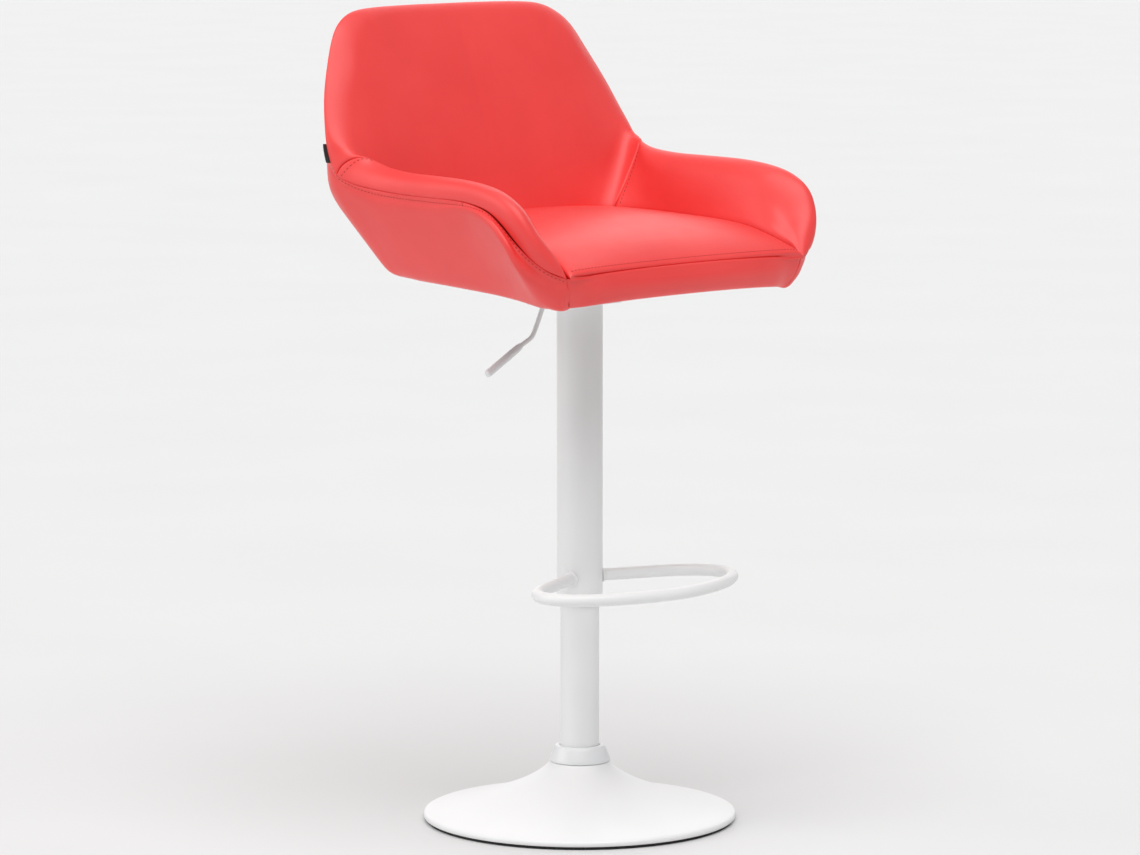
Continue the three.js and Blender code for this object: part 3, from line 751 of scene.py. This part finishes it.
def pad_freedom(loops):
    """How freely each point of a pad's sections may swell: not at all at the seams and inside."""
    edge, arch = [0, 0, 0], [0, 0.05, 0.15, 0.3, 0.45, 0.6, 0.7, 0.8]
    face, hidden = [0.95, 1, 1, 0.9, 0.6, 0.1], [0, 0, 0, 0]
    inner = loops[:, FACE_FIRST]
    reach = np.min([np.linalg.norm(inner - inner[end], axis=1) for end in (0, -1)], axis=0)
    return between(reach, 0, SWELL_REACH)[:, None] * np.array([*edge, *arch, *face, *hidden])


def crown_back(loops):
    """The leaning face of the back, a little full in the middle."""
    face = loops[:, FACE_FIRST : FACE_LAST + 1]
    profile = np.sin(math.pi * np.linspace(0, 1, face.shape[1])) * BACK_CROWN
    face[..., 1] -= profile[None, :] * (1 - (np.abs(face[..., 0]) / BACK_HALF) ** 2)
    return loops


def make_outer_cover():
    half = np.concatenate([outer_grid(ARM_STATIONS)[:-1], outer_grid(BACK_STATIONS)])
    cover = thick_cover("outer_cover", mirror(half))
    refine(cover)
    finish_piece(cover, "seat", "red_leather")
    return half, cover


def make_arms(wrap):
    pads = []
    for side, sign in (("left", 1), ("right", -1)):
        columns = (len(ARM_STATIONS) - 1) * STEPS + 1
        loops = rolled_end(pad_loops(ARM_STATIONS, wrap[:columns])) * np.array([sign, 1, 1])
        for line, width, depth in CORNER_FOLDS:
            loops = dented(loops, np.array(line) * [sign, 1, 1], width, depth)
        pad = loops_to_solid(f"arm_cover_{side}", loops)
        padded_piece(pad, loops, pad_freedom(loops), ARM_SWELL)
        finish_piece(pad, "seat", "red_leather", [f"arm_pad_{side}", f"arm_board_{side}"])
        pads.append(pad)
    return pads


def make_back(wrap):
    columns = (len(BACK_STATIONS) - 1) * STEPS + 1
    loops = pad_loops(BACK_STATIONS, wrap[-columns:])
    loops = crown_back(loops)
    loops = rolled_end(loops[::-1])[::-1]
    loops = mirror(loops)
    pad = loops_to_solid("back_cover", loops)
    padded_piece(pad, loops, pad_freedom(loops), BACK_SWELL)
    finish_piece(pad, "seat", "red_leather", ["backrest_pad", "back_board"])


# ---- Cushion and front band ----------------------------------------------------------------------

# Rows of the cushion from front to back: y, half width, height of the edge, height of the crown above it
CUSHION_ROWS = [
    (-197.0, 214.5, 745.5, 2.0),
    (-193.5, 214, 749.5, 2.5),
    (-187, 213, 753, 5),
    (-177, 210, 757.5, 8),
    (-162, 206.5, 763.5, 11),
    (-143, 204.5, 770, 13),
    (-118, 203.5, 776, 14),
    (-92, 203.5, 779.5, 14),
    (-55, 203.5, 782, 13),
    (-10, 203.5, 784, 12),
    (40, 203, 786, 11),
    (82, 199, 787, 10),
    (106, 191.5, 788, 9),
    (124, 180, 788, 7),
    (137, 161, 788, 4),
    (142.5, 140, 787, 1),
]
CUSHION_HALF = np.array([0.15, 0.45, 0.7, 0.86, 0.95, 0.985, 1])  # places across one half of a row
CUSHION_FLOOR = 727.5


def make_cushion():
    across = np.concatenate([-CUSHION_HALF[::-1], CUSHION_HALF])
    y, half, edge, crown = smooth(CUSHION_ROWS, 2).T
    loops = []
    for i in range(len(y)):
        top = edge[i] + crown[i] * (1 - np.abs(across) ** 2.6) - 7 * np.abs(across) ** 60
        row = np.stack([across * half[i], np.full(len(across), y[i]), top], axis=1)
        front = max(0.0, 1 - (y[i] + 197) / 14)
        low = min(CUSHION_FLOOR + 14 * front, edge[i] - 8)
        inset = half[i] - 4
        sides = [(inset - 1, y[i], mix(top[-1], low, 0.5)), (inset - 6, y[i], low), (0, y[i], low)]
        under = [(-x, a, b) for x, a, b in reversed(sides[:2])]
        loops.append([*row, *sides, *under])
    loops = np.array(loops, float)
    tuck = loops[:1].copy()
    tuck[0, :, 1] += 5
    tuck[0, :, 2] = np.minimum(tuck[0, :, 2], 742)
    loops = np.concatenate([tuck, loops])
    place = loops[:, 0, 1]
    rows = between(place, -195, -150) * between(-place, -140, -110)
    columns = np.concatenate([between(1 - np.abs(across), 0, 0.25), np.zeros(len(sides) + len(under))])
    freedom = rows[:, None] * columns
    cushion = loops_to_solid("seat_cushion_cover", loops)
    padded_piece(cushion, loops, freedom, CUSHION_SWELL)
    finish_piece(cushion, "seat", "red_leather", ["seat_cushion"])
    return cushion


BAND_END = 213.2  # half the band's length
BAND_BLEND = 160  # from here out the band takes on the shape of the outer cover's edge
BAND_MIDDLE, BAND_SIDE = 165, 180  # its columns are evenly spread inside the first and outside the second
BAND_ROWS = 15


def make_front_band(wrap):
    """The front band from under the seat board's edge, round the bottom and up to the front seam."""
    outer = np.linspace(BAND_SIDE, BAND_END, 7)
    x = np.concatenate([-outer[::-1], np.linspace(-BAND_MIDDLE, BAND_MIDDLE, 19), outer])
    share = np.abs(x)[:, None] / BAND_END
    full = 1 - share**2.2

    def row(y, z):
        return np.concatenate([x[:, None], y + 0 * full, z + 0 * full], axis=1)

    hem = row(FOLD_FRONT, FOLD_HEIGHT)
    bottom = row(-184 - 12 * full, 695 + 8.5 * full)
    belly = row(-193.5 - 12 * full, 720 + 3 * full)
    seam = row(-194.5 - 4.5 * full, 741 + 5.5 * full - SEAM_GAP)
    turn = 30 - 18 * np.minimum(full * 3, 1)
    outside = np.stack(rounded([hem, bottom, belly, seam], [turn, 9], steps=5), axis=1)
    outside = np.array([evenly(section, BAND_ROWS) for section in outside])
    corner = evenly(wrap[0], BAND_ROWS) - [0, 0, SEAM_GAP / 2]
    near_end = between(np.abs(x), BAND_BLEND, BAND_END)[:, None, None]
    near_end = near_end**2 * (3 - 2 * near_end)
    sign = np.sign(x)[:, None]
    overlap = np.linspace(4.8, 0.1, BAND_ROWS)  # the band's ends run on into the cover, most at the bottom
    offset = corner[None, :, 0] - BAND_END + overlap
    outside[..., 0] += sign * offset * near_end[..., 0]
    outside[..., 1:] = mix(outside[..., 1:], corner[None, :, 1:], near_end)
    rim = outside[:, -1]
    inside = np.stack([rim + [0, 1.5, 0.1], rim + [0, 6, -0.4], row(-176, 737), row(-175, 722)], axis=1)
    loops = np.concatenate([outside, inside], axis=1)
    band = refine(loops_to_solid("front_band_cover", loops))
    finish_piece(band, "seat", "red_leather", ["front_band"])


# ---- Stitching -----------------------------------------------------------------------------------


def spaced(line, pitch):
    """Points along a line at an even distance, with the direction at each."""
    where = np.arange(pitch, distances(line)[-1] - pitch / 2, pitch)
    placed = points_at(line, where)
    direction = points_at(line, where + 0.5) - placed
    return placed, direction / lengths(direction)


def stitches(name, line, piece, pitch=STITCH_PITCH, length=STITCH_LENGTH):
    """A row of short threads along a line, each lying on the nearest surface of a piece."""
    bpy.context.view_layer.update()
    surface = BVHTree.FromObject(piece, bpy.context.evaluated_depsgraph_get())
    placed, direction = spaced(np.asarray(line, float), pitch)
    vertices, faces = [], []
    for p, d in zip(mm(placed), direction):
        near, out, _, _ = surface.find_nearest(Vector(p))
        near, out = np.array(near) * 1000 - [0, AXIS_Y * 1000, 0], np.array(out)
        d = d - out * np.dot(out, d)
        d /= max(np.linalg.norm(d), 1e-9)
        side = np.cross(d, out)
        first = len(vertices)
        for along, thick, lift in STITCH_PROFILE:
            centre = near + d * along * length + out * lift * STITCH_WIDTH
            for k in range(STITCH_SIDES):
                a = 2 * math.pi * k / STITCH_SIDES
                vertices.append(centre + (side * math.cos(a) + out * math.sin(a)) * STITCH_WIDTH * thick)
        last = len(vertices) - STITCH_SIDES
        for start in range(first, last, STITCH_SIDES):
            for k in range(STITCH_SIDES):
                a, b = start + k, start + (k + 1) % STITCH_SIDES
                faces.append((a, b, b + STITCH_SIDES, a + STITCH_SIDES))
        faces.append(tuple(first + k for k in reversed(range(STITCH_SIDES))))
        faces.append(tuple(last + k for k in range(STITCH_SIDES)))
    obj = new_object(name, mm(np.array(vertices)), faces)
    finish_piece(obj, "seat", "red_leather", look=THREAD_WITH_PAINTED_SHADE)


def beside(line, towards, distance):
    """A line moved by a distance towards another line."""
    step = towards - line
    return line + step / lengths(step) * distance


TAG_LOW, TAG_HIGH = 866, 893
TAG_OUTLINE = [(-3, -1), (3, -1), (5.4, -0.9), (5.9, 0), (5.4, 0.9), (3, 1), (-3, 1)]  # out, across
TAG_OUT = np.array([-0.8, 0.6, 0.0])
TAG_ACROSS = np.array([0.6, 0.8, 0.0]) * 0.55


def make_tag():
    """A plain woven tag sewn into the outer seam at the sitter's right, low on the back."""
    seam = line_of(BACK_STATIONS, SEAM, 12)
    seam = seam[(seam[:, 2] > TAG_LOW) & (seam[:, 2] < TAG_HIGH)] * [-1, 1, 1]
    loops = [[p + TAG_OUT * out + TAG_ACROSS * across for out, across in TAG_OUTLINE] for p in seam]
    tag = refine(loops_to_solid("woven_tag", loops))
    finish_piece(tag, "seat", "black_fabric", ["side_tag"])


SEAM_TO_STITCH, FRONT_TO_STITCH, JOIN_TO_STITCH = 6.0, 5.5, 6.5  # millimetres from each seam to its stitches
ARM_JOIN_STATION = 6  # where each arm's outer panel is joined
ARM_JOIN_LENGTH = 9.0


def make_stitching(cover, arms, cushion):
    half = ARM_STATIONS[:-1] + BACK_STATIONS
    seam, fold = line_of(half, SEAM), line_of(half, FOLD)
    edge = mirror(beside(seam, fold, SEAM_TO_STITCH)[:, None])[:, 0]
    stitches("outer_stitches", edge, cover)
    y, width, height, crown = smooth(CUSHION_ROWS, 4).T
    across = np.linspace(-0.985, 0.985, 80)
    front = np.argmin(np.abs(y - y[0] - FRONT_TO_STITCH))
    top = height[front] + crown[front] * (1 - across**2)
    line = np.stack([across * width[front], np.full(len(across), y[front]), top], axis=1)
    stitches("front_stitches", line, cushion)
    end, before = (np.array(ARM_STATIONS[k], float) for k in (-1, -2))
    section = smooth(beside(end, before, JOIN_TO_STITCH)[SEAM:], 8)
    at = ARM_JOIN_STATION * STEPS
    joint = evenly(np.array([seam[at], beside(seam, fold, ARM_JOIN_LENGTH)[at]]), 12)
    for arm, side, sign in zip(arms, ("left", "right"), (1, -1)):
        stitches(f"arm_stitches_{side}", section * [sign, 1, 1], arm)
        stitches(f"arm_join_{side}", joint * [sign, 1, 1], cover, pitch=2.2, length=2.0)


# ---- Column, base and footrest -------------------------------------------------------------------


SHARP_ANGLE = 60  # degrees: turned pieces are smooth where their faces meet at less
BASE_SEGMENTS = 192

# Outlines of (radius, height) in millimetres
BASE_FLARE = [(39, 77), (50, 62), (86, 36), (201, 12)]  # a Bezier curve's end points and handles
BASE_RIM = [(204, 10.6), (205, 8.6), (205, 5.2), (204.2, 4.3), (199, 4.3), (199, 8)]
BASE_THICKNESS = (0.6, 2)
FLOOR_RING = [(188, 0), (201, 0), (201, 4), (188, 4)]
FOOT_COLLAR = [(26.2, 77.3), (40.2, 77.3), (39.6, 81.5), (33.4, 96), (31.2, 99), (26.2, 99)]
LOWER_COLUMN = [
    (5.6, 12), (24.3, 12), (25.5, 60), (25.5, 470),
    (23.3, 470), (23.3, 60), (22.2, 16), (5.6, 16),
]
COLUMN_RADIUS = 30
UPPER_COLUMN = [(28.5, 291), (COLUMN_RADIUS, 291), (COLUMN_RADIUS, 680.7), (28.5, 680.7)]
COLUMN_BUSH = [(25.8, 288), (30, 288), (30, 290.7), (28.2, 290.7), (28.2, 343), (25.8, 343)]


def filleted(profile, radius):
    """A closed outline with each corner rounded."""
    points = [np.array(p, float) for p in profile]
    out = []
    for i, corner in enumerate(points):
        before, after = points[i - 1] - corner, points[(i + 1) % len(points)] - corner
        reach = min(radius, ROUND_MOST * np.linalg.norm(before), ROUND_MOST * np.linalg.norm(after))
        a = corner + before / np.linalg.norm(before) * reach
        b = corner + after / np.linalg.norm(after) * reach
        for t in np.linspace(0, 1, 4):
            out.append((1 - t) ** 2 * a + 2 * t * (1 - t) * corner + t**2 * b)
    return out


def turned(name, profile, body, replaced, slot, segments=128):
    """A closed ring turned about the column's axis from an outline of (radius, height)."""
    loops = []
    for k in range(segments):
        a = 2 * math.pi * k / segments
        loops.append([(r * math.cos(a), r * math.sin(a), z) for r, z in profile])
    obj = ring_of_loops(name, loops)
    obj.data.set_sharp_from_angle(angle=math.radians(SHARP_ANGLE))
    finish_piece(obj, body, slot, [replaced])


def bezier(points, steps):
    a, b, c, d = (np.array(p, float) for p in points)
    line = []
    for t in np.linspace(0, 1, steps):
        line.append(a * (1 - t) ** 3 + 3 * b * t * (1 - t) ** 2 + 3 * c * t**2 * (1 - t) + d * t**3)
    return line


def make_base():
    flare = bezier(BASE_FLARE, 40)
    under = [(r - BASE_THICKNESS[0], z - BASE_THICKNESS[1]) for r, z in reversed(flare)]
    turned("trumpet_base", [*flare, *BASE_RIM, *under], "base", "base_shell", "white_paint", BASE_SEGMENTS)
    turned("floor_ring", filleted(FLOOR_RING, 0.9), "base", "rubber_ring", "black_rubber", BASE_SEGMENTS)
    turned("foot_collar", filleted(FOOT_COLLAR, 1.8), "base", "base_collar", "white_plastic")


def make_column():
    turned("lower_column", filleted(LOWER_COLUMN, 0.6), "base", "lower_tube", "white_paint")
    turned("upper_column", filleted(UPPER_COLUMN, 0.5), "seat", "upper_tube", "white_paint")
    turned("column_bush", filleted(COLUMN_BUSH, 0.5), "seat", "column_liner", "white_plastic")


def tube_along(name, route, radius, sides=24, taper=None):
    """A round bar along a smooth route, with flat ends. The taper gives its thickness at each point."""
    route = np.asarray(route, float)
    tangent = np.gradient(route, axis=0)
    tangent /= np.linalg.norm(tangent, axis=1, keepdims=True)
    side = np.cross(tangent[0], [0, 0, 1.0] if abs(tangent[0][2]) < 0.9 else [0, 1.0, 0])
    angles = np.linspace(0, 2 * math.pi, sides, endpoint=False)
    loops = []
    for i, (p, t) in enumerate(zip(route, tangent)):
        side = side - t * np.dot(side, t)
        side /= np.linalg.norm(side)
        other = np.cross(t, side)
        r = radius * (1 if taper is None else taper[i])
        loops.append([p + (side * math.cos(a) + other * math.sin(a)) * r for a in angles])
    return loops_to_solid(name, loops)


FOOTREST_HALF = [(25, 10), (80, 33), (124, 53), (151, 76), (160, 104), (147, 135), (108, 163), (56, 182)]
FOOTREST_FRONT = 190
FOOTREST_RADIUS = 8
WELD_EXTRA = 2.4  # how much thicker a weld bead is than the bar
WELD_STEPS = [(0, 1.0), (0.6, 1.0), (1.6, 0.97), (2.8, 0.9), (3.8, 0.83), (4.4, 0.79)]  # out, thickness


def make_footrest():
    height = node_middle("footrest_loop").z * 1000
    right = [(x, -forward, height) for x, forward in FOOTREST_HALF]
    left = [(-x, y, z) for x, y, z in reversed(right)]
    route = smooth([*right, (0, -FOOTREST_FRONT, height), *left], 12)
    clear = [p for p in route if math.hypot(p[0], p[1]) > COLUMN_RADIUS - 0.4]
    loop = tube_along("footrest_bar", clear, FOOTREST_RADIUS)
    finish_piece(loop, "seat", "white_paint", ["footrest_loop"])
    for side, sign in (("left", 1), ("right", -1)):
        start, beyond = np.array(clear[0]), np.array(clear[4])
        out = (beyond - start) / np.linalg.norm(beyond - start) * [sign, 1, 1]
        base = np.array([0, 0, height]) + out * (COLUMN_RADIUS + 0.2)
        route, taper = zip(*[(base + out * step, thickness) for step, thickness in WELD_STEPS])
        bead = tube_along(f"footrest_weld_{side}", route, FOOTREST_RADIUS + WELD_EXTRA, taper=taper)
        finish_piece(bead, "seat", "white_paint")


# The lever, as (x, z) in the plane y = 0 of the column's axis
LEVER_ROUTE = [
    (-46, 697), (-58, 695.5), (-65, 688), (-70, 675),
    (-82, 651), (-88, 643), (-96, 638.5), (-114, 630.5),
]
LEVER_RADIUS = 3.1
GRIP_ENDS = [(-106, 634), (-168, 601)]
GRIP_RADIUS = 5.2
GRIP_START = [(0, 0.5), (0.6, 0.66), (2.5, 0.82), (7, 0.95), (14, 1)]  # distance from the start, thickness
GRIP_END = [(4, 1), (1.6, 0.93), (0.5, 0.78), (0, 0.45)]  # distance from the end, thickness


def make_lever():
    route = smooth([(x, 0, z) for x, z in LEVER_ROUTE], 8)
    shaft = tube_along("lever_bar", route, LEVER_RADIUS, 20)
    finish_piece(shaft, "lever", "white_paint", ["lever_rod"])
    start, end = (np.array([x, 0, z], float) for x, z in GRIP_ENDS)
    length = np.linalg.norm(end - start)
    stations = [*GRIP_START, (length * 0.6, 1), *((length - back, thickness) for back, thickness in GRIP_END)]
    route = [start + (end - start) * (s / length) for s, _ in stations]
    grip = tube_along("lever_handle", route, GRIP_RADIUS, 28, [thickness for _, thickness in stations])
    refine(grip)
    finish_piece(grip, "lever", "white_plastic", ["lever_grip"])


# ---- What stays from the CAD ---------------------------------------------------------------------


def dress_cad_nodes():
    slots = {row["node"]: row["material_slot"] for row in frame["record"]["subparts"]}
    for name, obj in frame["nodes"].items():
        if obj.hide_render:
            continue
        look = DUST_CLOTH if name == "dust_cover" else LOOKS[slots[name]]
        obj.data.materials.clear()
        obj.data.materials.append(look)


# ---- Stage ---------------------------------------------------------------------------------------


def make_stage():
    floor_look = Look("pale_floor", (0.72, 0.72, 0.72), 0.6)
    floor_look.colors(floor_look.noise(2, 2), (0.3, (0.715, 0.715, 0.715)), (0.7, (0.73, 0.73, 0.73)))
    points = [(x * FLOOR_HALF, y * FLOOR_HALF, 0) for x, y in ((-1, -1), (1, -1), (1, 1), (-1, 1))]
    floor = new_object("floor", np.array(points, float), [(0, 1, 2, 3)])
    floor.data.materials.append(floor_look.material)


def add_sun(name, azimuth, elevation, strength, spread):
    """Even, soft light from one direction."""
    data = bpy.data.lights.new(name, "SUN")
    data.energy, data.angle = strength, math.radians(spread)
    light = bpy.data.objects.new(name, data)
    bpy.context.scene.collection.objects.link(light)
    a, e = math.radians(azimuth), math.radians(elevation)
    back = Vector((math.sin(a) * math.cos(e), -math.cos(a) * math.cos(e), math.sin(e)))
    light.rotation_euler = (-back).to_track_quat("-Z", "Y").to_euler()


def make_lights():
    world = bpy.data.worlds.new("studio")
    world.use_nodes = True
    tree = world.node_tree
    lighting = tree.nodes["Background"]
    lighting.inputs["Color"].default_value = (1, 1, 1, 1)
    lighting.inputs["Strength"].default_value = WORLD_LIGHT
    seen = tree.nodes.new("ShaderNodeBackground")
    seen.inputs["Color"].default_value = (1, 1, 1, 1)
    seen.inputs["Strength"].default_value = WORLD_SEEN
    path, blend = tree.nodes.new("ShaderNodeLightPath"), tree.nodes.new("ShaderNodeMixShader")
    tree.links.new(path.outputs["Is Camera Ray"], blend.inputs["Fac"])
    tree.links.new(lighting.outputs["Background"], blend.inputs[1])
    tree.links.new(seen.outputs["Background"], blend.inputs[2])
    tree.links.new(blend.outputs["Shader"], tree.nodes["World Output"].inputs["Surface"])
    bpy.context.scene.world = world
    for sun in SUNS:
        add_sun(*sun)


def make_view():
    """The standard view transform, which keeps the red as strong as its own colour."""
    bpy.context.scene.view_settings.view_transform = "Standard"


def make_camera():
    data = bpy.data.cameras.new("camera")
    data.lens, data.sensor_width = CAMERA_LENS, CAMERA_SENSOR
    data.clip_end = CAMERA_REACH
    camera = bpy.data.objects.new("camera", data)
    bpy.context.scene.collection.objects.link(camera)
    a = math.radians(CAMERA_AZIMUTH)
    camera.location = (math.sin(a) * CAMERA_DISTANCE, AXIS_Y - math.cos(a) * CAMERA_DISTANCE, CAMERA_HEIGHT)
    camera.rotation_euler = (math.radians(90 - CAMERA_PITCH), 0, a + math.radians(CAMERA_YAW))
    bpy.context.scene.camera = camera


wrap, cover = make_outer_cover()
arms = make_arms(wrap)
make_back(wrap)
cushion = make_cushion()
make_front_band(wrap)
make_tag()
make_stitching(cover, arms, cushion)
make_base()
make_column()
make_footrest()
make_lever()
dress_cad_nodes()
make_stage()
make_lights()
make_view()
make_camera()
